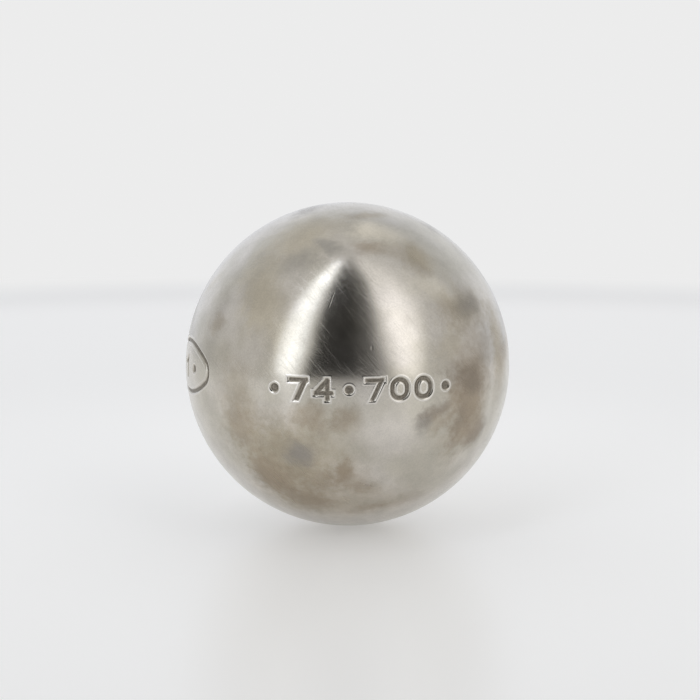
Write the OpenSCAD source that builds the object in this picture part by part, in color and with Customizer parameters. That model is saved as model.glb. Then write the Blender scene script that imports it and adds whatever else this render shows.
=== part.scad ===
// Petanque boule: a hollow steel ball made of two pressed half shells,
// joined by one weld round the seam, turned to a smooth ball and then stamped.
// The origin is the centre of the ball. The seam lies in the plane y = 0,
// the row of stamped figures faces -Y, and its circle lies in the plane z = 0.
// Sizes are in millimetres.

/* [Ball] */
// Outside diameter of the ball
ball_d = 74; // [70.5:0.5:80]
// Thickness of the steel wall
wall = 6.15; // [5.2:0.05:8]

/* [Weld seam] */
// Depth of the weld groove below the surface
groove_depth = 3.4; // [2:0.1:4]
// Angle between the two bevelled faces of the groove
groove_angle = 60; // [50:1:80]
// How far the lip of the front half reaches into the rear half
lip_reach = 2; // [1:0.1:3]
// Thickness of the lip where it meets the seam
lip_t = 1.2; // [0.8:0.1:1.5]
// Clearance between the lip and its rebate
lip_gap = 0.05; // [0.02:0.01:0.15]

/* [Stamped marks] */
// Height of a stamped figure
figure_h = 5; // [4:0.1:7]
// Width of a stamped figure
figure_w = 4.3; // [3.6:0.1:4.7]
// Distance from one mark to the next, measured round the ball
figure_step = 5.5; // [5.1:0.1:6.5]
// Width of a stamped line
line_w = 1; // [0.8:0.05:1.3]
// Diameter of a round dot in the row
dot_d = 1.9; // [1.2:0.1:3]
// Length of the oval mark, measured round the ball
oval_w = 26; // [20:0.5:30]
// Height of the oval mark
oval_h = 12.4; // [11:0.1:14]
// Radius of the oval's outline at its two ends
oval_end_r = 3.4; // [2.8:0.1:4]
// Depth of every mark below the surface
stamp_depth = 0.4; // [0.2:0.05:0.8]
// Turn from the front to the middle of the row, in degrees
row_turn = 4.8; // [-10:0.1:10]
// Turn from the front to the middle of the oval mark, in degrees
oval_turn = -75.8; // [-80:0.1:-70]
// Height of the oval's middle above the middle of the row
oval_rise = 1.1; // [0:0.1:1.5]

/* [Hidden] */
$fn = 96;

// How far a cutter runs past what it cuts
overrun = 1;
// Tilt of the poles of every ball shape, which keeps them off rims and marks
pole_tilt = 30;

outer_r = ball_d / 2;
inner_r = outer_r - wall;
// Where the lip ends and the flat root faces begin and end, from the seam axis
lip_r = inner_r + lip_t;
rebate_r = lip_r + lip_gap;
root_r = outer_r - groove_depth;
// Where the turned cutters end
far_r = outer_r + overrun;
bevel_run = (far_r - root_r) * tan(groove_angle / 2);

// The row reads: dot, 74 (the diameter), dot, 700 (the weight in grams), dot
dot = -1;
row_marks = [dot, 7, 4, dot, 7, 0, 0, dot];
// The oval holds a set number between two dots
oval_marks = [dot, 1, dot];

// Bars of the straight-sided figures, from and to, as shares of the box that
// their centre lines fill. The figure's own box trims the ends that run past it
one_shares = [[[0.55, -0.3], [0.55, 1.3]], [[0.1, 0.74], [0.55, 1]]];
four_shares = [[[0.74, -0.3], [0.74, 1.3]], [[0.74, 1], [0, 0.3]], [[-0.3, 0.3], [1.3, 0.3]]];
seven_shares = [[[-0.3, 1], [1.3, 1]], [[1.04, 1.14], [0.22, -0.3]]];
stroke_box = [figure_w - line_w, figure_h - line_w];

// Centres of the arcs at the oval's ends and along its sides, and the side radius
end_x = oval_w / 2 - oval_end_r;
side_r = (pow(oval_w / 2, 2) + pow(oval_h / 2, 2) - oval_w * oval_end_r) / (oval_h - 2 * oval_end_r);
side_y = side_r - oval_h / 2;

// Angle at the centre of the ball between one mark of the row and the next
step_angle = figure_step / outer_r * 180 / PI;

function at_share(s) = [for (i = [0, 1]) (s[i] - 0.5) * stroke_box[i]];

module ball(r) {
    rotate([pole_tilt, 0, 0])
        sphere(r = r);
}

// Turned shape about the seam axis: points are [distance from the axis, y]
module turned(points) {
    rotate([-90, 0, 0])
        rotate_extrude()
            polygon(points);
}

// Straight bar, one line wide, from a to b
module bar(a, b) {
    run = b - a;
    translate(a)
        rotate(atan2(run.y, run.x))
            translate([0, -line_w / 2])
                square([norm(run), line_w]);
}

module straight_figure(bars) {
    intersection() {
        square([figure_w, figure_h], center = true);
        union()
            for (ends = bars)
                bar(at_share(ends[0]), at_share(ends[1]));
    }
}

module round_ended(w, h) {
    square([w, h - w], center = true);
    for (side = [-1, 1])
        translate([0, side * (h - w) / 2])
            circle(d = w);
}

module figure(n) {
    if (n == dot)
        circle(d = dot_d);
    if (n == 0)
        difference() {
            round_ended(figure_w, figure_h);
            round_ended(figure_w - 2 * line_w, figure_h - 2 * line_w);
        }
    if (n == 1)
        straight_figure(one_shares);
    if (n == 4)
        straight_figure(four_shares);
    if (n == 7)
        straight_figure(seven_shares);
}

// Oval of four arcs that meet without a corner, drawn in from its full size by the inset
module oval(inset) {
    join_x = (side_r - inset) * end_x / norm([end_x, side_y]);
    for (side = [-1, 1])
        translate([side * end_x, 0])
            circle(r = oval_end_r - inset);
    intersection() {
        translate([0, side_y])
            circle(r = side_r - inset);
        translate([0, -side_y])
            circle(r = side_r - inset);
        square([2 * join_x, oval_h], center = true);
    }
}

module oval_outline() {
    difference() {
        oval(0);
        oval(line_w);
    }
}

// Stands a flat mark on the ball, at a turn from the front and a height
module on_ball(turn, height = 0) {
    rotate([90, 0, turn])
        translate([0, height, outer_r - wall / 2])
            linear_extrude(wall / 2 + overrun)
                children();
}

// Everything that the stamps press out of the surface, to one even depth
module stamped_marks() {
    difference() {
        union() {
            for (i = [0 : len(row_marks) - 1])
                on_ball(row_turn + (i - (len(row_marks) - 1) / 2) * step_angle)
                    figure(row_marks[i]);
            on_ball(oval_turn, oval_rise)
                oval_outline();
            for (i = [0 : len(oval_marks) - 1])
                on_ball(oval_turn + (i - (len(oval_marks) - 1) / 2) * step_angle, oval_rise)
                    figure(oval_marks[i]);
        }
        ball(outer_r - stamp_depth);
    }
}

module hollow_ball() {
    difference() {
        ball(outer_r);
        ball(inner_r);
    }
}

// The front half carries the row, most of the oval, and the lip that centres the halves
module front_half_shell() {
    color([0.66, 0.63, 0.58])
        difference() {
            hollow_ball();
            turned([
                [0, lip_reach],
                [lip_r, lip_reach],
                [lip_r, 0],
                [root_r, 0],
                [far_r, -bevel_run],
                [far_r, far_r],
                [0, far_r]
            ]);
            stamped_marks();
        }
}

// The rear half has the rebate that the lip fits, and the far end of the oval
module rear_half_shell() {
    color([0.62, 0.59, 0.55])
        difference() {
            hollow_ball();
            turned([
                [0, lip_reach + lip_gap],
                [rebate_r, lip_reach + lip_gap],
                [rebate_r, 0],
                [root_r, 0],
                [far_r, bevel_run],
                [far_r, -far_r],
                [0, -far_r]
            ]);
            stamped_marks();
        }
}

// The weld fills the groove and is turned flush with the ball; the oval crosses it
module seam_weld_bead() {
    color([0.72, 0.71, 0.69])
        difference() {
            intersection() {
                ball(outer_r);
                turned([
                    [root_r, 0],
                    [far_r, -bevel_run],
                    [far_r, bevel_run]
                ]);
            }
            stamped_marks();
        }
}

front_half_shell();
rear_half_shell();
seam_weld_bead();
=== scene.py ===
# Petanque boule: two turned half shells and the weld between them, in worn bare steel.
# Lengths are in millimetres and angles in degrees, and they become metres and radians where
# Blender needs them. A place on the ball is a turn from the front (-Y) towards +X and a rise,
# or the pixel of the photograph that shows it.
import math
import random

import bmesh
import bpy
import numpy as np
from mathutils import Matrix, Vector


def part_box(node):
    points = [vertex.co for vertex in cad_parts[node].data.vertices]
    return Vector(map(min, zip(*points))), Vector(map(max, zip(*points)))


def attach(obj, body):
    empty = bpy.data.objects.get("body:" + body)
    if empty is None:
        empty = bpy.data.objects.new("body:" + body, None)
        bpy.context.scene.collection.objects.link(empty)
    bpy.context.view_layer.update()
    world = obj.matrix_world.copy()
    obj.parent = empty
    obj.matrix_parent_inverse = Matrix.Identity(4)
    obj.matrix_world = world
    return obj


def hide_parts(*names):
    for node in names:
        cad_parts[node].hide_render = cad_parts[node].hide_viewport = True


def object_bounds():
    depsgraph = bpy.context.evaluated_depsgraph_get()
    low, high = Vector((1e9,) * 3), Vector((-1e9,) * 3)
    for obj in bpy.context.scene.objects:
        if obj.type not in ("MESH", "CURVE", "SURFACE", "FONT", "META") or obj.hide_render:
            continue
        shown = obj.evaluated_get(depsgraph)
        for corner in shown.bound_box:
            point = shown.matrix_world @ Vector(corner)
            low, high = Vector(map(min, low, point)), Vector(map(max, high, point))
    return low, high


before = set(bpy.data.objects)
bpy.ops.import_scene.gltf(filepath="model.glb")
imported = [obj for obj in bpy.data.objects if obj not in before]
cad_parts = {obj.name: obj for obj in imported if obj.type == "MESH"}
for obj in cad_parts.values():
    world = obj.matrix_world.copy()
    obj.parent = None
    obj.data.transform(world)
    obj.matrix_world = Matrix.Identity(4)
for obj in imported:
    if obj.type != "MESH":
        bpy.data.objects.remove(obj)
cadBox = [list(corner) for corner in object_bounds()]
mm = 0.001

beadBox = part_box("seam_weld_bead")

ball = {
    "radius": (cadBox[1][0] - cadBox[0][0]) / 2 / mm,
    "wall": 6.15,
    "lipReach": 2.0,  # the front half's lip, and the rebate that it fits in the rear half
    "lipWall": 1.2,
    "lipGap": 0.05,
    "gridSize": 64,  # faces along each side of the patch round the pole
    "skinRows": 30,  # rows of faces from that patch to the rim, outside
    "hollowRows": 12,  # and inside
    "fineReach": (2.4, 1.5, 0.9),  # faces this near a mark are halved, once for each
}

weld = {
    "rootDepth": 3.4,  # where it begins, below the surface
    "halfWidth": beadBox[1][1] / mm,
    "rows": 6,  # rows of faces across it
}
print("frame loaded, ball radius", round(ball["radius"], 3))

# The photograph's frame in pixels, the ball's outline in it, and where its camera stood
picture = {
    "size": 700.0,
    "middle": (347.57, 363.91),
    "radius": 161.79,
    "distance": 450.0,
    "rise": 8.6,
}
focal = picture["radius"] / math.tan(math.asin(ball["radius"] / picture["distance"]))


def onSkin(turn, rise):
    # unit direction of a place on the ball
    turn, rise = math.radians(turn), math.radians(rise)
    level = math.cos(rise)
    return np.array([math.sin(turn) * level, -math.cos(turn) * level, math.sin(rise)])


def atPixel(x, y):
    # unit direction of what a pixel shows of the ball, or of the nearest place on its outline
    back = onSkin(0.0, picture["rise"])
    up = onSkin(180.0, 90.0 - picture["rise"])
    ray = up * (picture["middle"][1] - y) - back * focal
    ray[0] += x - picture["middle"][0]
    ray /= np.linalg.norm(ray)
    start = back * picture["distance"]
    nearest = -(start @ ray)
    inside = nearest ** 2 - start @ start + ball["radius"] ** 2
    place = start + ray * (nearest - math.sqrt(max(inside, 0.0)))
    return place / np.linalg.norm(place)


# Stamped marks

stamps = {
    "height": 5.0,
    "width": 4.3,
    "line": 1.0,
    "dot": 1.9,
    "step": 5.5,  # from one mark of the row to the next
    "row": ["dot", "7", "4", "dot", "7", "0", "0", "dot"],  # 74 mm and 700 g
    "rowTurn": 4.8,
    "oval": (26.0, 12.4),  # it runs on over the weld to the rear half
    "ovalEnd": 3.4,  # radius of its outline at the two ends
    "ovalRow": ["dot", "1", "dot"],
    "ovalTurn": -75.8,
    "ovalRise": 1.1,  # the oval sits a little higher than the row
    "depth": 0.4,
    "floorAt": -0.46,  # the recess is at its full depth this far inside a mark's edge
    "brinkAt": 0.3,  # and it ends this far outside the edge
    "joinBlend": 0.2,  # how softly a figure's bars run together
    "trimBlend": 0.3,  # and how softly their ends are cut off
    "burr": 0.022,  # height of the metal pushed up round a mark
    "burrAt": 0.4,  # and its distance from the edge
    "burrWidth": 0.13,
    "keptReach": (-1.0, 9.0),  # the finish knows distances to the marks between these
}

# Centre lines of the straight figures, as shares of the box that they fill
barShares = {
    "1": [((0.55, -0.3), (0.55, 1.3)), ((0.1, 0.74), (0.55, 1.0))],
    "4": [((0.74, -0.3), (0.74, 1.3)), ((0.74, 1.0), (0.0, 0.3)), ((-0.3, 0.3), (1.3, 0.3))],
    "7": [((-0.3, 1.0), (1.3, 1.0)), ((1.04, 1.14), (0.22, -0.3))],
}


def toLine(u, v, a, b):
    # distance from each point to the line from a to b
    runU, runV = b[0] - a[0], b[1] - a[1]
    share = ((u - a[0]) * runU + (v - a[1]) * runV) / (runU ** 2 + runV ** 2)
    share = np.clip(share, 0.0, 1.0)
    return np.hypot(u - a[0] - share * runU, v - a[1] - share * runV)


def softMin(a, b, blend):
    mix = np.clip(0.5 + 0.5 * (b - a) / blend, 0.0, 1.0)
    return b + (a - b) * mix - blend * mix * (1.0 - mix)


def softMax(a, b, blend):
    return -softMin(-a, -b, blend)


def toOval(u, v):
    # signed distance to an oval of four arcs
    u, v = np.abs(u), np.abs(v)
    a, b = stamps["oval"][0] / 2, stamps["oval"][1] / 2
    endX = a - stamps["ovalEnd"]
    sideRadius = (a * a + b * b - 2 * a * stamps["ovalEnd"]) / (2 * (b - stamps["ovalEnd"]))
    sideY = sideRadius - b
    toEnd = np.hypot(u - endX, v) - stamps["ovalEnd"]
    toSide = np.hypot(u, v + sideY) - sideRadius
    return np.where(u * sideY > (v + sideY) * endX, toEnd, toSide)


def toFigure(name, u, v):
    # signed distance to a mark's outline, negative inside it
    half = stamps["line"] / 2
    if name == "dot":
        return np.hypot(u, v) - stamps["dot"] / 2
    if name == "oval":
        return np.abs(toOval(u, v) + half) - half
    if name == "0":
        straight = (stamps["height"] - stamps["width"]) / 2
        middle = toLine(u, v, (0.0, -straight), (0.0, straight))
        return np.abs(middle - (stamps["width"] / 2 - half)) - half
    spanU = stamps["width"] - stamps["line"]
    spanV = stamps["height"] - stamps["line"]
    away = None
    for a, b in barShares[name]:
        ends = [((share[0] - 0.5) * spanU, (share[1] - 0.5) * spanV) for share in (a, b)]
        bar = toLine(u, v, *ends) - half
        away = bar if away is None else softMin(away, bar, stamps["joinBlend"])
    beyondU = np.abs(u) - stamps["width"] / 2
    beyondV = np.abs(v) - stamps["height"] / 2
    return softMax(away, np.maximum(beyondU, beyondV), stamps["trimBlend"])


def markPlaces():
    # every mark with its turn from the front and its height
    stepAngle = math.degrees(stamps["step"] / ball["radius"])
    inOval = (stamps["ovalTurn"], stamps["ovalRise"])
    places = [("oval", *inOval)]
    for row, turn, height in ((stamps["row"], stamps["rowTurn"], 0.0), (stamps["ovalRow"], *inOval)):
        for i, mark in enumerate(row):
            places.append((mark, turn + (i - (len(row) - 1) / 2) * stepAngle, height))
    return places


def toMarks(points):
    # signed distance from points of the skin to the nearest mark
    nearest = np.full(len(points), np.inf)
    for mark, turn, height in markPlaces():
        turn = math.radians(turn)
        u = points[:, 0] * math.cos(turn) + points[:, 1] * math.sin(turn)
        v = points[:, 2] - height
        ahead = points[:, 0] * math.sin(turn) - points[:, 1] * math.cos(turn)
        close = (ahead > 0) & (np.abs(u) < stamps["oval"][0]) & (np.abs(v) < stamps["oval"][0])
        if close.any():
            nearest[close] = np.minimum(nearest[close], toFigure(mark, u[close], v[close]))
    return nearest


# Small dents of use: the pixels that each runs from and to, its width and its depth
nicks = [
    {"from": (329, 307), "to": (334, 293), "width": 0.22, "depth": 0.006},
    {"from": (334, 293), "to": (338, 299), "width": 0.22, "depth": 0.005},
    {"from": (426, 475), "to": (414, 488), "width": 0.32, "depth": 0.014},
    {"from": (372, 349), "to": (372, 347), "width": 0.42, "depth": 0.012},
    {"from": (369, 353), "to": (377, 360), "width": 0.2, "depth": 0.005},
    {"from": (323, 232), "to": (339, 240), "width": 0.22, "depth": 0.004},
    {"from": (288, 499), "to": (306, 496), "width": 0.22, "depth": 0.004},
]


def toNick(points, nick):
    # distance from points of the skin to a dent's middle line
    a = atPixel(*nick["from"]) * ball["radius"]
    b = atPixel(*nick["to"]) * ball["radius"]
    share = np.clip((points - a) @ (b - a) / ((b - a) @ (b - a)), 0.0, 1.0)
    return np.linalg.norm(points - a - share[:, None] * (b - a), axis=1)


def smoothStep(value):
    value = np.clip(value, 0.0, 1.0)
    return value * value * value * (value * (value * 6 - 15) + 10)


def recessAt(points):
    # depth below the skin at points of it
    away = toMarks(points)
    share = 1 - smoothStep((away - stamps["floorAt"]) / (stamps["brinkAt"] - stamps["floorAt"]))
    burr = stamps["burr"] * np.exp(-((away - stamps["burrAt"]) / stamps["burrWidth"]) ** 2)
    depth = stamps["depth"] * share - burr
    for nick in nicks:
        depth += nick["depth"] * (1 - smoothStep(toNick(points, nick) / nick["width"]))
    return depth, share, away


# Shell meshes

def capGrid(bm, radius, rimAngle, rows, side, zone, zoneLayer):
    # square patch round the pole, then rows out to the rim; returns the rim's vertices in order
    size = ball["gridSize"]
    quarter = math.pi / 4

    def place(axis, u, v):
        return bm.verts.new(Vector((u, side * axis, v)).normalized() * radius)

    def addFace(corners):
        bm.faces.new(corners)[zoneLayer] = zone

    steps = [math.tan(quarter * (2 * i / size - 1)) for i in range(size + 1)]
    patch = [[place(1, u, v) for u in steps] for v in steps]
    for j in range(size):
        for i in range(size):
            addFace((patch[j][i], patch[j][i + 1], patch[j + 1][i + 1], patch[j + 1][i]))
    edge = [patch[0][i] for i in range(size)] + [patch[i][size] for i in range(size)]
    edge += [patch[size][size - i] for i in range(size)] + [patch[size - i][0] for i in range(size)]
    inner = edge
    for row in range(1, rows + 1):
        outer = []
        for start in edge:
            around = math.atan2(start.co.z, start.co.x)
            startAngle = math.acos(side * start.co.y / radius)
            angle = startAngle + (rimAngle - startAngle) * row / rows
            spread = math.sin(angle)
            outer.append(place(math.cos(angle), spread * math.cos(around), spread * math.sin(around)))
        for i in range(len(edge)):
            k = (i + 1) % len(edge)
            addFace((inner[i], inner[k], outer[k], outer[i]))
        inner = outer
    return inner


def ringBelow(bm, rim, distance, y):
    # the same ring of vertices at another distance from the seam's axis
    made = []
    for v in rim:
        around = math.atan2(v.co.z, v.co.x)
        made.append(bm.verts.new((distance * math.cos(around), y, distance * math.sin(around))))
    return made


def joinRings(bm, a, b, zone, zoneLayer):
    for i in range(len(a)):
        k = (i + 1) % len(a)
        bm.faces.new((a[i], a[k], b[k], b[i]))[zoneLayer] = zone


def refineSkin(bm, radius, zoneLayer):
    # finer faces near the marks and dents, out to the rims that they cross
    def onOutside(element):
        return any(f[zoneLayer] == 0 for f in element.link_faces)

    for reach in ball["fineReach"]:
        skin = [v for v in bm.verts if onOutside(v)]
        points = np.array([v.co for v in skin])
        near = toMarks(points) < reach
        for nick in nicks:
            near |= toNick(points, nick) < nick["width"] + reach / 2
        chosen = {v for v, picked in zip(skin, near) if picked}
        edges = [e for e in bm.edges if onOutside(e) and not chosen.isdisjoint(e.verts)]
        bmesh.ops.subdivide_edges(bm, edges=edges, cuts=1, use_grid_fill=True)
        for v in bm.verts:
            if onOutside(v):
                v.co = v.co.normalized() * radius


def shellMesh(name, side, radius):
    # a closed half shell; side is -1 for the front half and 1 for the rear one
    # zones: 0 is the skin, 1 the faces between the halves and 2 the inside
    bm = bmesh.new()
    zoneLayer = bm.faces.layers.int.new("zone")
    inside = radius - ball["wall"]
    root = radius - weld["rootDepth"]
    weldY = weld["halfWidth"]
    rimAngle = math.acos(weldY / radius)
    outerRim = capGrid(bm, radius, rimAngle, ball["skinRows"], side, 0, zoneLayer)
    rootRing = ringBelow(bm, outerRim, root, 0.0)
    lip = inside + ball["lipWall"]
    lipY = ball["lipReach"]
    if side > 0:
        lip += ball["lipGap"]
        lipY += ball["lipGap"]
    lipFoot = ringBelow(bm, outerRim, lip, 0.0)
    lipEdge = ringBelow(bm, outerRim, lip, lipY)
    innerAngle = math.acos(side * lipY / inside)
    innerRim = capGrid(bm, inside, innerAngle, ball["hollowRows"], side, 2, zoneLayer)
    for a, b in ((outerRim, rootRing), (rootRing, lipFoot), (lipFoot, lipEdge), (lipEdge, innerRim)):
        joinRings(bm, a, b, 1, zoneLayer)
    refineSkin(bm, radius, zoneLayer)
    bmesh.ops.recalc_face_normals(bm, faces=bm.faces)
    return finishMesh(name, bm, radius)


def beadMesh(name, radius):
    # ring of weld metal, triangular in section, flush with both halves
    bm = bmesh.new()
    zoneLayer = bm.faces.layers.int.new("zone")
    count = 4 * ball["gridSize"]
    across = weld["rows"]
    rimAngle = math.asin(weld["halfWidth"] / radius)
    rings = []
    for row in range(across + 1):
        rise = rimAngle * (2 * row / across - 1)
        ring = []
        for i in range(count):
            around = 2 * math.pi * i / count + math.pi / 4  # in step with the shells' rims
            spread = radius * math.cos(rise)
            place = (spread * math.cos(around), radius * math.sin(rise), spread * math.sin(around))
            ring.append(bm.verts.new(place))
        rings.append(ring)
    root = ringBelow(bm, rings[0], radius - weld["rootDepth"], 0.0)
    for a, b in zip(rings, rings[1:]):
        joinRings(bm, a, b, 0, zoneLayer)
    joinRings(bm, rings[-1], root, 1, zoneLayer)
    joinRings(bm, root, rings[0], 1, zoneLayer)
    refineSkin(bm, radius, zoneLayer)
    bmesh.ops.recalc_face_normals(bm, faces=bm.faces)
    return finishMesh(name, bm, radius)


def finishMesh(name, bm, radius):
    # presses the marks in, keeps what the finish needs to know, and sets exact normals
    mesh = bpy.data.meshes.new(name)
    bm.to_mesh(mesh)
    bm.free()
    zones = np.empty(len(mesh.polygons), dtype=np.int32)
    mesh.attributes["zone"].data.foreach_get("value", zones)
    points = np.empty(len(mesh.vertices) * 3)
    mesh.vertices.foreach_get("co", points)
    points = points.reshape(-1, 3)
    distance = np.linalg.norm(points, axis=1)
    slack = 0.01  # what is nearer than this to the ball's radius is skin
    skin = distance > radius - slack
    directions = points[skin] / distance[skin, None]
    depth, share, away = recessAt(directions * radius)
    points[skin] -= directions * depth[:, None]
    mesh.vertices.foreach_set("co", (points * mm).ravel())

    for label, values in (("recess", share), ("markDistance", np.clip(away, *stamps["keptReach"]))):
        column = np.zeros(len(points))
        column[skin] = values
        layer = mesh.attributes.new(label, "FLOAT", "POINT")
        layer.data.foreach_set("value", column)

    normals = np.zeros_like(points)
    normals[skin] = skinNormals(directions, radius)
    normals[~skin] = -points[~skin] / distance[~skin, None]
    corners = np.empty(len(mesh.loops), dtype=np.int32)
    mesh.loops.foreach_get("vertex_index", corners)
    counts = np.empty(len(mesh.polygons), dtype=np.int32)
    mesh.polygons.foreach_get("loop_total", counts)
    flat = np.empty(len(mesh.polygons) * 3)
    mesh.polygons.foreach_get("normal", flat)
    cornerNormals = normals[corners]
    seatCorners = np.repeat(zones == 1, counts)
    cornerNormals[seatCorners] = np.repeat(flat.reshape(-1, 3), counts, axis=0)[seatCorners]
    mesh.polygons.foreach_set("use_smooth", np.ones(len(zones), dtype=bool))
    mesh.normals_split_custom_set([tuple(n) for n in cornerNormals])
    mesh.attributes.remove(mesh.attributes["zone"])
    mesh.update()
    return mesh


def skinNormals(directions, radius):
    # slope of the skin from the depth a hair's breadth to each side
    steep = 0.9  # higher up than this a level helper takes the upright one's place
    helper = np.where(np.abs(directions[:, 2:3]) < steep, [[0.0, 0.0, 1.0]], [[1.0, 0.0, 0.0]])
    sideways = np.cross(helper, directions)
    sideways /= np.linalg.norm(sideways, axis=1)[:, None]
    upward = np.cross(directions, sideways)
    hair = 0.02
    normals = directions.copy()
    for tangent in (sideways, upward):
        ahead = directions * radius + tangent * hair
        behind = directions * radius - tangent * hair
        slope = (recessAt(ahead)[0] - recessAt(behind)[0]) / (2 * hair)
        normals += tangent * slope[:, None]
    return normals / np.linalg.norm(normals, axis=1)[:, None]


def addPiece(name, mesh, material, node):
    piece = bpy.data.objects.new(name, mesh)
    bpy.context.scene.collection.objects.link(piece)
    mesh.materials.append(material)
    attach(piece, "root")
    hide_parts(node)
    mesh.calc_loop_triangles()
    print("made", name, len(mesh.loop_triangles), "triangles")


# Finish: bare steel, handled and stained, with a painted highlight round the marks and a little
# painted shade over the lower front

patina = {
    "clean": (0.695, 0.66, 0.61),
    "worn": (0.585, 0.555, 0.485),
    "pale": (0.84, 0.79, 0.69),
    "olive": (0.61, 0.56, 0.455),
    "khaki": (0.48, 0.425, 0.33),
    "brown": (0.375, 0.31, 0.23),
    "umber": (0.29, 0.245, 0.195),
    "smoke": (0.36, 0.335, 0.30),
    "grey": (0.47, 0.45, 0.41),
    "dirt": (0.19, 0.17, 0.14),
    "thinDirt": (0.30, 0.27, 0.225),
    "rimHighlight": (0.3, 0.7),  # how bright the painted highlight round the marks' edges is, at the oval and at the row
    "rowFrom": (-29.0, -24.0),  # the places to the side where the one passes into the other
    # colour of the painted highlight round the marks' edges
    "rimHighlightColour": (0.80, 0.775, 0.73),
    "weldTone": 1.05,  # the weld's own metal is a little lighter
    "handledFrom": (0.38, 0.62),  # worn metal passes into clean metal over this span of the noise
    "mottle": 0.14,  # how far the tone wanders over a few millimetres
    "grain": 0.08,
    "toneSpread": 0.2,  # half the span of a noise over which a tone wanders
    "roughness": 0.165,
    "roughnessReach": 0.012,
    "stainRoughness": 0.05,
    "roughTints": ("brown", "umber", "smoke", "khaki"),  # the stains that dull the metal
    "stainEdge": 0.9,  # the soft edge of a stain reaches this far past the pixels read for it
    "stainFade": 0.9,  # and this far in, as a share of the stain's size
    "stainDepth": 14.0,  # a stain's oval body stands at least this far out of the skin and into it
    "stainMargin": 4.0,  # a piece further than this from a stain does without it
    "ragged": (0.25, 0.1, 1.07),  # noise over half this span shifts the edge by this from here
    "edgeWander": (5.0, 1.4),  # how far the blotches and the flecks push a stain's edge about
    "bump": 0.006,  # height of the blotches
    "film": 0.2,  # a thin greasy film that greys the ball's rim
    "filmRoughness": 0.3,
}

# Scale, detail and roughness of each noise in the metal, from the broadest to the finest
noises = {
    "broad": (0.05, 3.0, 0.55),
    "blotch": (0.17, 4.0, 0.55),
    "fleck": (0.6, 3.0, 0.55),
    "grain": (2.6, 2.0, 0.6),
    "scratch": (1.0, 2.0, 0.6),
}

# Sets of fine scratches: fall, length, width, and the level of the noise that they start from
scratchSets = [
    {"fall": 50.0, "length": 8.0, "width": 0.26, "start": 0.5},
    {"fall": 32.0, "length": 11.0, "width": 0.4, "start": 0.54},
    {"fall": -25.0, "length": 7.0, "width": 0.3, "start": 0.6},
]
scratched = {"fade": 0.2, "depth": 0.08, "roughness": 0.08}  # depth is a share of the bump

# Dirt goes by the share of a mark's depth, and the painted highlight on the marks' edges by the
# distance from the mark
grimeAndHighlight = {
    "uneven": (0.5, 0.2, 0.0),  # flecks shift the dirt's edge: half the noise's span, reach, middle
    "dirtFrom": (0.3, 0.85),
    "roughFrom": (0.15, 0.6),
    "roughness": 0.48,
    "patchFrom": (0.35, 0.65),  # thick dirt passes into thin dirt over this span of the noise
    "highlightFrom": (0.05, 0.2),
    "highlightTo": (0.4, 0.7),
}
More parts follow.
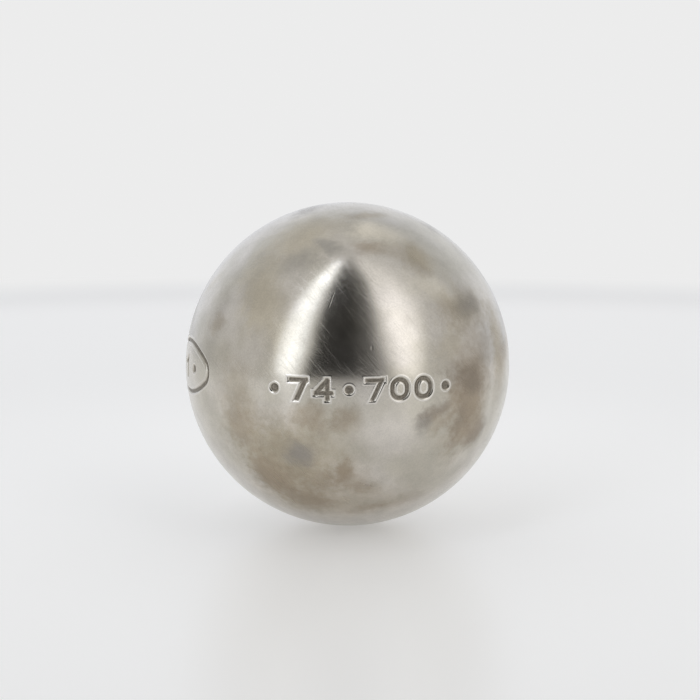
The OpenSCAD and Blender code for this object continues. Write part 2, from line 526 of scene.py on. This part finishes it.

# Stains with a shape of their own. Most were read off the photograph: the middle, half length
# and half width in pixels. The others are laid on the ball one by one: place, and half sizes in mm.
# The tilt is from level, anticlockwise
stains = [
    {"pixel": (430, 475), "half": (34, 22), "tilt": 30, "tint": "worn", "cover": 0.7},
    {"pixel": (388, 436), "half": (44, 32), "tilt": 0, "tint": "clean", "cover": 1.0},
    {"pixel": (262, 300), "half": (60, 27), "tilt": 95, "tint": "olive", "cover": 0.9},
    {"pixel": (300, 234), "half": (48, 20), "tilt": 28, "tint": "olive", "cover": 0.8},
    {"pixel": (236, 390), "half": (34, 24), "tilt": 95, "tint": "khaki", "cover": 0.5},
    {"at": (46, -4), "size": (19.0, 8.5), "tilt": 80, "tint": "brown", "cover": 0.95},
    {"at": (-10, -48), "size": (22.0, 9.0), "tilt": 0, "tint": "khaki", "cover": 0.65},
    {"pixel": (288, 458), "half": (78, 43), "tilt": -25, "tint": "khaki", "cover": 1.0},
    {"pixel": (274, 478), "half": (38, 17), "tilt": -38, "tint": "brown", "cover": 1.0},
    {"pixel": (299, 455), "half": (22, 13), "tilt": -10, "tint": "smoke", "cover": 1.0},
    {"pixel": (310, 500), "half": (36, 12), "tilt": -12, "tint": "brown", "cover": 0.8},
    {"pixel": (346, 420), "half": (17, 16), "tilt": 0, "tint": "brown", "cover": 0.65},
    {"pixel": (322, 428), "half": (15, 12), "tilt": 0, "tint": "brown", "cover": 0.4},
    {"pixel": (346, 469), "half": (14, 10), "tilt": 60, "tint": "brown", "cover": 0.8},
    {"pixel": (366, 489), "half": (17, 5), "tilt": -5, "tint": "brown", "cover": 0.5},
    {"pixel": (368, 508), "half": (25, 3), "tilt": 13, "tint": "brown", "cover": 0.5},
    {"pixel": (426, 421), "half": (16, 7), "tilt": 63, "tint": "smoke", "cover": 0.9},
    {"pixel": (438, 409), "half": (16, 8), "tilt": 30, "tint": "umber", "cover": 0.75},
    {"pixel": (462, 418), "half": (27, 8), "tilt": 75, "tint": "umber", "cover": 0.55},
    {"pixel": (475, 432), "half": (19, 7), "tilt": 62, "tint": "umber", "cover": 0.95},
    {"pixel": (469, 380), "half": (24, 21), "tilt": -10, "tint": "umber", "cover": 0.8},
    {"pixel": (456, 396), "half": (12, 10), "tilt": 0, "tint": "brown", "cover": 0.3},
    {"pixel": (450, 345), "half": (22, 13), "tilt": 60, "tint": "olive", "cover": 0.65},
    {"pixel": (465, 308), "half": (24, 25), "tilt": 20, "tint": "khaki", "cover": 0.9},
    {"pixel": (467, 306), "half": (17, 16), "tilt": 20, "tint": "smoke", "cover": 0.7},
    {"pixel": (432, 288), "half": (29, 11), "tilt": -28, "tint": "pale", "cover": 0.8},
    {"pixel": (418, 258), "half": (26, 13), "tilt": -38, "tint": "khaki", "cover": 0.8},
    {"pixel": (388, 250), "half": (28, 8), "tilt": -12, "tint": "khaki", "cover": 0.35},
    {"pixel": (368, 248), "half": (16, 6), "tilt": -8, "tint": "brown", "cover": 0.55},
    {"pixel": (367, 229), "half": (19, 9), "tilt": 5, "tint": "pale", "cover": 1.0},
    {"pixel": (366, 215), "half": (26, 4), "tilt": 3, "tint": "khaki", "cover": 0.7},
    {"pixel": (328, 245), "half": (13, 6), "tilt": -25, "tint": "grey", "cover": 1.0},
    {"pixel": (298, 262), "half": (23, 11), "tilt": 40, "tint": "grey", "cover": 0.7},
    {"pixel": (233, 325), "half": (33, 5), "tilt": 88, "tint": "clean", "cover": 0.9},
    {"pixel": (218, 322), "half": (9, 8), "tilt": 0, "tint": "khaki", "cover": 0.6},
    {"at": (-61, 43), "size": (7.0, 4.0), "tilt": 110, "tint": "clean", "cover": 0.8},
    {"at": (67, 10), "size": (15.0, 6.0), "tilt": 85, "tint": "khaki", "cover": 1.0},
    {"at": (1, -34), "size": (6.5, 5.0), "tilt": 0, "tint": "brown", "cover": 0.6},
    {"at": (-11, -35), "size": (6.5, 5.0), "tilt": 0, "tint": "brown", "cover": 0.5},
    {"at": (-40, -14), "size": (9.0, 7.0), "tilt": 70, "tint": "brown", "cover": 0.6},
    {"at": (-13, -9), "size": (5.5, 4.0), "tilt": 0, "tint": "brown", "cover": 0.6},
    {"at": (33, -13), "size": (4.5, 3.2), "tilt": 50, "tint": "brown", "cover": 0.5},
    {"at": (49, -14), "size": (7.0, 5.5), "tilt": 80, "tint": "brown", "cover": 0.6},
    {"at": (27, -48), "size": (9.0, 4.0), "tilt": 20, "tint": "brown", "cover": 0.4},
    {"at": (40, 27), "size": (5.0, 5.0), "tilt": 0, "tint": "khaki", "cover": 0.4},
    {"at": (49, 12), "size": (6.0, 5.0), "tilt": 60, "tint": "clean", "cover": 0.35},
    {"at": (-33, 13), "size": (7.0, 4.0), "tilt": 90, "tint": "clean", "cover": 0.5},
    {"at": (25, 58), "size": (6.0, 4.0), "tilt": 150, "tint": "pale", "cover": 0.7},
    # painted shade: a broad faint umber wash that darkens the whole lower front a little
    {"at": (0, -45), "size": (62.0, 40.0), "tilt": 0, "tint": "umber", "cover": 0.12},
]

# The far side is stained in the same way, by chance
farStains = {
    "count": 34,
    "seed": 11,
    "turns": (68, 292),
    "rises": (-78, 78),
    "half": (3.0, 13.0),
    "shrink": 0.6,  # the last ones are smaller by this share
    "stretch": 1.3,
    "slimness": (0.45, 0.95),
    "cover": (0.5, 0.9),
    "tints": ("olive", "olive", "khaki", "khaki", "brown", "smoke", "grey", "clean", "pale"),
}


def addFarStains():
    chance = random.Random(farStains["seed"])
    for i in range(farStains["count"]):
        shrunk = 1.0 - farStains["shrink"] * i / farStains["count"]
        half = chance.uniform(*farStains["half"]) * shrunk
        turn = chance.uniform(*farStains["turns"])
        sine = chance.uniform(*(math.sin(math.radians(rise)) for rise in farStains["rises"]))
        stains.append({
            "at": (turn, math.degrees(math.asin(sine))),
            "size": (half * farStains["stretch"], half * chance.uniform(*farStains["slimness"])),
            "tilt": chance.uniform(0, 180),
            "tint": chance.choice(farStains["tints"]),
            "cover": chance.uniform(*farStains["cover"]),
        })


def addNode(tree, kind, inputs=None, **settings):
    node = tree.nodes.new(kind)
    for key, value in settings.items():
        setattr(node, key, value)
    for key, value in (inputs or {}).items():
        if isinstance(value, bpy.types.NodeSocket):
            tree.links.new(value, node.inputs[key])
        else:
            node.inputs[key].default_value = value
    return node


def addMath(tree, operation, *values):
    inputs = dict(enumerate(values))
    return addNode(tree, "ShaderNodeMath", inputs, operation=operation).outputs[0]


def mixColour(tree, factor, a, b):
    # a Mix node holds its two colours in sockets 6 and 7, and the mixed one in output 2
    sides = [c if isinstance(c, bpy.types.NodeSocket) else (*c[:3], 1.0) for c in (a, b)]
    node = addNode(tree, "ShaderNodeMix", {0: factor, 6: sides[0], 7: sides[1]}, data_type="RGBA")
    return node.outputs[2]


def mixValue(tree, factor, a, b):
    return addNode(tree, "ShaderNodeMix", {0: factor, 2: a, 3: b}).outputs[0]


def mapRange(tree, value, fromMin, fromMax, toMin=0.0, toMax=1.0):
    inputs = dict(enumerate((value, fromMin, fromMax, toMin, toMax)))
    return addNode(tree, "ShaderNodeMapRange", inputs, interpolation_type="SMOOTHSTEP").outputs[0]


def wander(tree, noise, spread, reach, value):
    # a value that a noise moves up and down by the given reach
    return mapRange(tree, noise.outputs[0], 0.5 - spread, 0.5 + spread, value - reach, value + reach)


def addVector(tree, operation, a, b=(0.0, 0.0, 0.0)):
    second = "Scale" if operation == "SCALE" else 1
    node = addNode(tree, "ShaderNodeVectorMath", {0: a, second: b}, operation=operation)
    return node.outputs["Value" if operation == "LENGTH" else "Vector"]


def addNoise(tree, place, name):
    scale, detail, roughness = noises[name]
    inputs = {"Vector": place, "Scale": scale, "Detail": detail, "Roughness": roughness}
    return addNode(tree, "ShaderNodeTexNoise", inputs)


def shifted(tree, place, noise, reach):
    # the place moved about by a noise's colour
    centred = addVector(tree, "SUBTRACT", noise.outputs["Color"], (0.5, 0.5, 0.5))
    return addVector(tree, "ADD", place, addVector(tree, "SCALE", centred, reach))


def stainGroup():
    # node group that tells how much a soft ragged oval covers a place
    group = bpy.data.node_groups.new("stainCover", "ShaderNodeTree")
    sockets = [("Place", "Vector"), ("Ragged", "Float"), ("Centre", "Vector"), ("Turn", "Vector")]
    sockets += [("Size", "Vector"), ("Cover", "Float")]
    for label, kind in sockets:
        group.interface.new_socket(label, in_out="INPUT", socket_type="NodeSocket" + kind)
    group.interface.new_socket("Share", in_out="OUTPUT", socket_type="NodeSocketFloat")
    given = group.nodes.new("NodeGroupInput").outputs
    inputs = {"Vector": given["Place"], "Location": given["Centre"]}
    inputs.update({"Rotation": given["Turn"], "Scale": given["Size"]})
    local = addNode(group, "ShaderNodeMapping", inputs, vector_type="TEXTURE")
    length = addVector(group, "LENGTH", local.outputs[0])
    inside = addMath(group, "SUBTRACT", given["Ragged"], length)
    share = mapRange(group, inside, 0.0, patina["stainFade"], 0.0, given["Cover"])
    addNode(group, "NodeGroupOutput", {0: share})
    return group


def layStain(stain):
    # where a stain lies on the ball, the direction of its length, and its half sizes
    if "at" in stain:
        outward = onSkin(*stain["at"])
        east = np.cross((0.0, 0.0, 1.0), outward)
        east /= np.linalg.norm(east)
        tilt = math.radians(stain["tilt"])
        along = east * math.cos(tilt) + np.cross(outward, east) * math.sin(tilt)
        return outward, along, stain["size"]
    outward = atPixel(*stain["pixel"])
    middleX, middleY = stain["pixel"]
    spans = []
    for half, quarter in zip(stain["half"], (0.0, 90.0)):
        angle = math.radians(stain["tilt"] + quarter)
        runX, runY = half * math.cos(angle), half * math.sin(angle)
        ahead = atPixel(middleX + runX, middleY - runY)
        behind = atPixel(middleX - runX, middleY + runY)
        spans.append((ahead - behind) * ball["radius"] / 2)
    # the oval that the two spans make on the ball has axes of its own
    axes, halves = np.linalg.svd(np.transpose(spans), full_matrices=False)[:2]
    along = axes[:, 0] - outward * (axes[:, 0] @ outward)
    return outward, along / np.linalg.norm(along), halves + patina["stainEdge"]


def stainShare(tree, group, laid, cover, place, ragged):
    # how much of a place the stain covers
    outward, along = Vector(laid[0]), Vector(laid[1])
    turned = Matrix((along, outward, along.cross(outward))).transposed()
    length, width = laid[2]
    inputs = {
        "Place": place,
        "Ragged": ragged,
        "Centre": outward * ball["radius"],
        "Turn": turned.to_euler(),
        "Size": (length, max(length, patina["stainDepth"]), width),
        "Cover": cover,
    }
    return addNode(tree, "ShaderNodeGroup", inputs, node_tree=group).outputs[0]


def wornSteel(name, side, group):
    # side is -1 for the front half, 1 for the rear one and 0 for the weld between them
    material = bpy.data.materials.new(name)
    material.use_nodes = True
    tree = material.node_tree
    tree.nodes.clear()
    inMetres = addNode(tree, "ShaderNodeTexCoord").outputs["Object"]
    place = addVector(tree, "SCALE", inMetres, 1 / mm)
    broad = addNoise(tree, place, "broad")
    blotch = addNoise(tree, place, "blotch")
    fleck = addNoise(tree, place, "fleck")
    grain = addNoise(tree, place, "grain")
    wandering = shifted(tree, place, blotch, patina["edgeWander"][0])
    wandering = shifted(tree, wandering, fleck, patina["edgeWander"][1])
    ragged = wander(tree, fleck, *patina["ragged"])

    handled = mapRange(tree, broad.outputs[0], *patina["handledFrom"])
    colour = mixColour(tree, handled, patina["worn"], patina["clean"])
    stained = None
    for stain in stains:
        laid = layStain(stain)
        reach = max(laid[2]) + patina["stainMargin"]
        depth = laid[0][1] * ball["radius"]
        if depth * side < -reach or (side == 0 and abs(depth) > reach):
            continue
        share = stainShare(tree, group, laid, stain["cover"], wandering, ragged)
        colour = mixColour(tree, share, colour, patina[stain["tint"]])
        if stain["tint"] in patina["roughTints"]:
            stained = share if stained is None else addMath(tree, "MAXIMUM", stained, share)
    tone = patina["weldTone"] if side == 0 else 1.0
    spread = patina["toneSpread"]
    broader = wander(tree, blotch, spread, patina["mottle"] / 2, tone)
    finer = wander(tree, grain, spread, patina["grain"] / 2, 1.0)
    value = addMath(tree, "MULTIPLY", broader, finer)
    colour = addNode(tree, "ShaderNodeHueSaturation", {"Value": value, "Color": colour}).outputs[0]
    roughness = wander(tree, fleck, spread, patina["roughnessReach"], patina["roughness"])
    if stained is not None:
        roughness = addMath(tree, "MULTIPLY_ADD", stained, patina["stainRoughness"], roughness)

    # fine scratches, mostly falling from left to right
    lined = None
    for lines in scratchSets:
        swung = addNode(tree, "ShaderNodeMapping", {"Vector": place}, vector_type="TEXTURE")
        swung.inputs["Rotation"].default_value = (0.0, math.radians(lines["fall"]), 0.0)
        swung.inputs["Scale"].default_value = (lines["length"], lines["length"], lines["width"])
        noise = addNoise(tree, swung.outputs[0], "scratch")
        fullAt = lines["start"] + scratched["fade"]
        share = mapRange(tree, noise.outputs[0], lines["start"], fullAt)
        lined = share if lined is None else addMath(tree, "MAXIMUM", lined, share)
    roughness = addMath(tree, "MULTIPLY_ADD", lined, scratched["roughness"], roughness)
    height = addMath(tree, "MULTIPLY_ADD", lined, -scratched["depth"], blotch.outputs[0])

    # dirt in the marks, and a painted highlight round their edges
    recess = addNode(tree, "ShaderNodeAttribute", attribute_name="recess").outputs["Fac"]
    away = addNode(tree, "ShaderNodeAttribute", attribute_name="markDistance").outputs["Fac"]
    uneven = addMath(tree, "ADD", recess, wander(tree, fleck, *grimeAndHighlight["uneven"]))
    sideways = addNode(tree, "ShaderNodeSeparateXYZ", {0: place}).outputs[0]
    brightest = mapRange(tree, sideways, *patina["rowFrom"], *patina["rimHighlight"])
    dirty = mapRange(tree, uneven, *grimeAndHighlight["dirtFrom"])
    # painted highlight: a pale rim just outside each mark, brighter along the row than at the oval
    highlightFade = mapRange(tree, away, *grimeAndHighlight["highlightTo"], brightest, 0.0)
    rimHighlight = mapRange(tree, away, *grimeAndHighlight["highlightFrom"], 0.0, highlightFade)
    patchy = mapRange(tree, grain.outputs[0], *grimeAndHighlight["patchFrom"])
    dirt = mixColour(tree, patchy, patina["dirt"], patina["thinDirt"])
    colour = mixColour(tree, rimHighlight, colour, patina["rimHighlightColour"])
    colour = mixColour(tree, dirty, colour, dirt)
    rougher = mapRange(tree, recess, *grimeAndHighlight["roughFrom"])
    roughness = mixValue(tree, rougher, roughness, grimeAndHighlight["roughness"])

    inputs = {"Base Color": colour, "Roughness": roughness}
    shader = addNode(tree, "ShaderNodeBsdfPrincipled", inputs)
    bump = addNode(tree, "ShaderNodeBump", {"Height": height})
    bump.inputs["Strength"].default_value = 1.0
    bump.inputs["Distance"].default_value = patina["bump"] * mm
    tree.links.new(bump.outputs[0], shader.inputs["Normal"])
    shader.inputs["Metallic"].default_value = 1.0
    shader.inputs["Coat Weight"].default_value = patina["film"]
    shader.inputs["Coat Roughness"].default_value = patina["filmRoughness"]
    addNode(tree, "ShaderNodeOutputMaterial", {"Surface": shader.outputs[0]})
    return material


# Studio: two tall soft lights with a dark gap between them, pale walls and a pale glossy floor.
# Angles run from the front. A pair is the left light and the right one, down to the spans

studio = {
    "background": 0.84,
    "warm": (1.0, 0.985, 0.955),  # the room in front, and overhead
    "cool": (0.965, 0.985, 1.03),  # the backdrop's side
    "lamps": ((0.965, 0.995, 1.06), (1.0, 0.985, 0.985)),
    "gap": 0.03,
    "gapGlow": 0.1,  # the gap's right side is a little lit
    "gapTop": 0.12,  # and so is its upper end
    "lights": (2.1, 1.45),
    "innerEdge": (31.0, 30.5),
    "innerLean": (-0.065, -0.08),  # the gap narrows a little with the rise
    "innerFoot": (3.5, 2.0),  # and widens at the foot
    "innerBlur": (9.0, 15.0),
    "innerTop": (0.0, 5.0),  # high up the right light's inner edge stands back
    "innerTopBlur": (0.0, -7.0),  # and is sharper
    "outerEdge": (50.0, 52.5),
    "outerLean": (-0.06, 0.2),
    "outerBlur": (8.0, 8.0),
    "outerTopBlur": (0.0, 13.0),
    "lightTop": ((57.0, 68.0), (30.0, 80.0)),  # where each light changes with the rise
    "lightTopLevel": (2.8, 0.85),
    "walls": 0.6,
    "backLow": 0.86,
    "backHigh": 0.64,
    "roof": 0.56,
    "below": 0.62,
    # spans: the rises or turns over which one of the above passes into another
    "footRises": (0.0, 20.0),
    "innerTopRises": (50.0, 68.0),
    "blurRises": (20.0, 58.0),
    "backRises": (20.0, 50.0),
    "roofRises": (82.0, 88.0),
    "belowRises": (0.0, -2.0),
    "belowShare": 0.6,
    "gapTopRises": (60.0, 88.0),
    "gapGlowTurns": (2.0, 14.0),
    "wallTurns": (115.0, 145.0),
    "coolTurns": (85.0, 150.0),
    "coolRises": (35.0, 62.0),
    "lampLevels": (0.75, 1.25),  # and the levels over which the lamps' own tints set in
}


def buildWorld():
    world = bpy.data.worlds.new("studio")
    world.use_nodes = True
    bpy.context.scene.world = world
    tree = world.node_tree
    tree.nodes.clear()
    ray = addNode(tree, "ShaderNodeTexCoord").outputs["Generated"]
    parts = addNode(tree, "ShaderNodeSeparateXYZ", {0: ray})
    ahead = addMath(tree, "MULTIPLY", parts.outputs[1], -1.0)
    turn = addMath(tree, "DEGREES", addMath(tree, "ARCTAN2", parts.outputs[0], ahead))
    height = addMath(tree, "DEGREES", addMath(tree, "ARCSINE", parts.outputs[2]))
    rise = addMath(tree, "ABSOLUTE", height)
    away = addMath(tree, "ABSOLUTE", turn)
    right = addMath(tree, "GREATER_THAN", turn, 0.0)

    def either(left, onRight):
        return mixValue(tree, right, left, onRight)

    def past(edge, lean, blur, topBlur, foot=(0.0, 0.0), top=(0.0, 0.0)):
        # 0 on this side of a light's leaning edge and 1 beyond it
        place = addMath(tree, "MULTIPLY_ADD", rise, either(*studio[lean]), either(*studio[edge]))
        low = mapRange(tree, rise, *studio["footRises"], either(*foot), 0.0)
        high = mapRange(tree, rise, *studio["innerTopRises"], 0.0, either(*top))
        place = addMath(tree, "ADD", addMath(tree, "ADD", place, low), high)
        width = mapRange(tree, rise, *studio["blurRises"], 0.0, either(*studio[topBlur]))
        width = addMath(tree, "ADD", width, either(*studio[blur]))
        start = addMath(tree, "SUBTRACT", place, width)
        return mapRange(tree, away, start, addMath(tree, "ADD", place, width))

    faded = []
    for level, top, span in zip(studio["lights"], studio["lightTopLevel"], studio["lightTop"]):
        faded.append(mapRange(tree, rise, *span, level, top))
    back = mapRange(tree, rise, *studio["backRises"], studio["backLow"], studio["backHigh"])
    wall = mapRange(tree, away, *studio["wallTurns"], studio["walls"], back)
    glow = mapRange(tree, turn, *studio["gapGlowTurns"], studio["gap"], studio["gapGlow"])
    topGlow = mapRange(tree, rise, *studio["gapTopRises"], 0.0, studio["gapTop"])
    glow = addMath(tree, "ADD", glow, topGlow)
    outer = past("outerEdge", "outerLean", "outerBlur", "outerTopBlur")
    level = mixValue(tree, outer, either(*faded), wall)
    shifts = (studio["innerFoot"], studio["innerTop"])
    inner = past("innerEdge", "innerLean", "innerBlur", "innerTopBlur", *shifts)
    level = mixValue(tree, inner, glow, level)
    level = mixValue(tree, mapRange(tree, rise, *studio["roofRises"]), level, studio["roof"])
    under = mapRange(tree, height, *studio["belowRises"], 0.0, studio["belowShare"])
    level = mixValue(tree, under, level, studio["below"])
    seen = addNode(tree, "ShaderNodeLightPath").outputs["Is Camera Ray"]
    level = mixValue(tree, seen, level, studio["background"])
    low = mapRange(tree, rise, *studio["coolRises"], 1.0, 0.0)
    behind = addMath(tree, "MULTIPLY", mapRange(tree, away, *studio["coolTurns"]), low)
    tint = mixColour(tree, behind, studio["warm"], studio["cool"])
    lampTint = mixColour(tree, right, *studio["lamps"])
    tint = mixColour(tree, mapRange(tree, level, *studio["lampLevels"]), tint, lampTint)
    tint = mixColour(tree, seen, tint, (1.0, 1.0, 1.0))
    background = addNode(tree, "ShaderNodeBackground", {"Color": tint, "Strength": level})
    addNode(tree, "ShaderNodeOutputWorld", {"Surface": background.outputs[0]})


floorPlate = {
    "radius": 560.0,
    "segments": 128,
    "colour": (0.74, 0.74, 0.735),
    "glow": (0.265, 0.222),  # painted light: the pale floor glows a little of itself, which lifts the ball's shadow; near the ball and far off
    "glowReach": (90.0, 240.0),
    "roughness": 0.32,
    "dimFrom": 400.0,  # painted shade: it darkens softly towards the line where it meets the background
    "line": 470.0,
    "lineLevel": 0.91,
    "fadeTo": 548.0,
}


def buildFloor():
    bm = bmesh.new()
    radius, segments = floorPlate["radius"] * mm, floorPlate["segments"]
    bmesh.ops.create_circle(bm, cap_ends=True, segments=segments, radius=radius)
    mesh = bpy.data.meshes.new("floorPlate")
    bm.to_mesh(mesh)
    bm.free()
    plate = bpy.data.objects.new("floorPlate", mesh)
    plate.location.z = -ball["radius"] * mm
    bpy.context.scene.collection.objects.link(plate)
    material = bpy.data.materials.new("paleFloor")
    material.use_nodes = True
    tree = material.node_tree
    tree.nodes.clear()
    place = addNode(tree, "ShaderNodeTexCoord").outputs["Object"]
    distance = addVector(tree, "LENGTH", place)
    line = floorPlate["line"] * mm
    dimFrom = floorPlate["dimFrom"] * mm
    # painted shade: glow and colour both dim towards the line where the floor meets the background
    dimmed = mapRange(tree, distance, dimFrom, line, 1.0, floorPlate["lineLevel"])
    # painted light: the floor's own glow, a little stronger near the ball
    reach = [away * mm for away in floorPlate["glowReach"]]
    glow = addMath(tree, "MULTIPLY", dimmed, mapRange(tree, distance, *reach, *floorPlate["glow"]))
    grey = [floorPlate["lineLevel"] * channel for channel in floorPlate["colour"]]
    toLineShare = mapRange(tree, distance, dimFrom, line)
    colour = mixColour(tree, toLineShare, floorPlate["colour"], grey)
    inputs = {"Base Color": colour, "Emission Strength": glow}
    shader = addNode(tree, "ShaderNodeBsdfPrincipled", inputs)
    shader.inputs["Roughness"].default_value = floorPlate["roughness"]
    shader.inputs["Emission Color"].default_value = (1.0, 1.0, 1.0, 1.0)
    beyond = addNode(tree, "ShaderNodeEmission", {"Strength": studio["background"]})
    edge = mapRange(tree, distance, line, floorPlate["fadeTo"] * mm)
    inputs = {0: edge, 1: shader.outputs[0], 2: beyond.outputs[0]}
    mixed = addNode(tree, "ShaderNodeMixShader", inputs)
    addNode(tree, "ShaderNodeOutputMaterial", {"Surface": mixed.outputs[0]})
    mesh.materials.append(material)


# The camera's sensor, and the nearest and farthest that it sees
lens = {"sensor": 36.0, "nearest": 10.0, "farthest": 10000.0}


def buildCamera():
    data = bpy.data.cameras.new("camera")
    data.sensor_width = lens["sensor"]
    data.lens = data.sensor_width * focal / picture["size"]
    data.shift_x = 0.5 - picture["middle"][0] / picture["size"]
    data.shift_y = picture["middle"][1] / picture["size"] - 0.5
    data.clip_start = lens["nearest"] * mm
    data.clip_end = lens["farthest"] * mm
    camera = bpy.data.objects.new("camera", data)
    bpy.context.scene.collection.objects.link(camera)
    camera.location = onSkin(0.0, picture["rise"]) * picture["distance"] * mm
    camera.rotation_euler = (math.radians(90.0 - picture["rise"]), 0.0, 0.0)
    bpy.context.scene.camera = camera


buildCamera()
buildWorld()
buildFloor()
print("camera, studio and floor built")
addFarStains()
print(len(stains), "stains laid,", len(nicks), "dents")
group = stainGroup()
skinRadius = ball["radius"] - stamps["burr"]
frontMesh = shellMesh("frontShell", -1, skinRadius)
frontSteel = wornSteel("frontSteel", -1, group)
addPiece("frontShell", frontMesh, frontSteel, "front_half_shell")
rearMesh = shellMesh("rearShell", 1, skinRadius)
rearSteel = wornSteel("rearSteel", 1, group)
addPiece("rearShell", rearMesh, rearSteel, "rear_half_shell")
weldMesh = beadMesh("weldBead", skinRadius)
weldSteel = wornSteel("weldSteel", 0, group)
addPiece("weldBead", weldMesh, weldSteel, "seam_weld_bead")

bpy.context.scene.view_settings.view_transform = "Standard"
